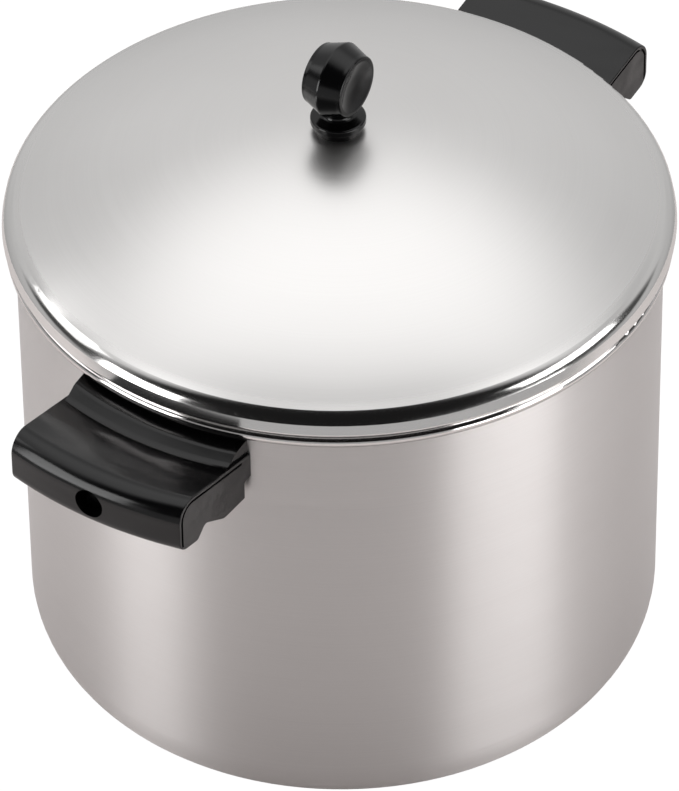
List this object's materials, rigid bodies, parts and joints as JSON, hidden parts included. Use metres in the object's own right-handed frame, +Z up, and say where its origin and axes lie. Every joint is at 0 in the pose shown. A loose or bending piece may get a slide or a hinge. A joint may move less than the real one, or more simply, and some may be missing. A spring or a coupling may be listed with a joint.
{
  "type": "covered stockpot",
  "caption": "Deep straight-sided stainless stockpot with a capsule base, side grips and a domed lift-off lid with a round knob.",
  "frame": {"origin": "centre of the base's underside, on the surface the pot stands on", "axes": "+Z up through the knob; the side handles lie along X; the knob's round faces look along Y"},
  "size_m": [0.3678, 0.2788, 0.3017],
  "materials": {
    "satin_steel": "satin stainless, fine vertical grain outside",
    "polished_steel": "polished stainless with faint spun rings",
    "base_steel": "turned stainless, fine circular grain",
    "aluminium_core": "rolled",
    "black_phenolic": "moulded black phenolic, semi-gloss",
    "brass_insert": "turned",
    "zinc_steel": "zinc plated",
    "bracket_steel": "pressed stainless"
  },
  "bodies": {
    "pot": {"pot_body": "satin_steel", "base_core_disc": "aluminium_core", "base_cap": "base_steel", "left_handle_bracket": "bracket_steel", "left_handle_boss": "bracket_steel", "left_handle_grip": "black_phenolic", "left_handle_lock_washer": "zinc_steel", "left_handle_screw": "zinc_steel", "right_handle_bracket": "bracket_steel", "right_handle_boss": "bracket_steel", "right_handle_grip": "black_phenolic", "right_handle_lock_washer": "zinc_steel", "right_handle_screw": "zinc_steel"},
    "lid_screw": {"knob_screw": "zinc_steel"},
    "lid": {"lid": "polished_steel", "knob": "black_phenolic", "knob_insert": "brass_insert", "knob_washer": "zinc_steel", "knob_lock_washer": "zinc_steel"}
  },
  "joints": [
    {"name": "lid_lift", "type": "slide", "parent": "pot", "child": "lid_screw", "axis": [0, 0, 1], "range_m": [0, 0.2]},
    {"name": "lid_turn", "type": "hinge", "parent": "lid_screw", "child": "lid", "pos_m": [0, 0, 0.2613], "axis": [0, 0, 1], "continuous": true}
  ]
}
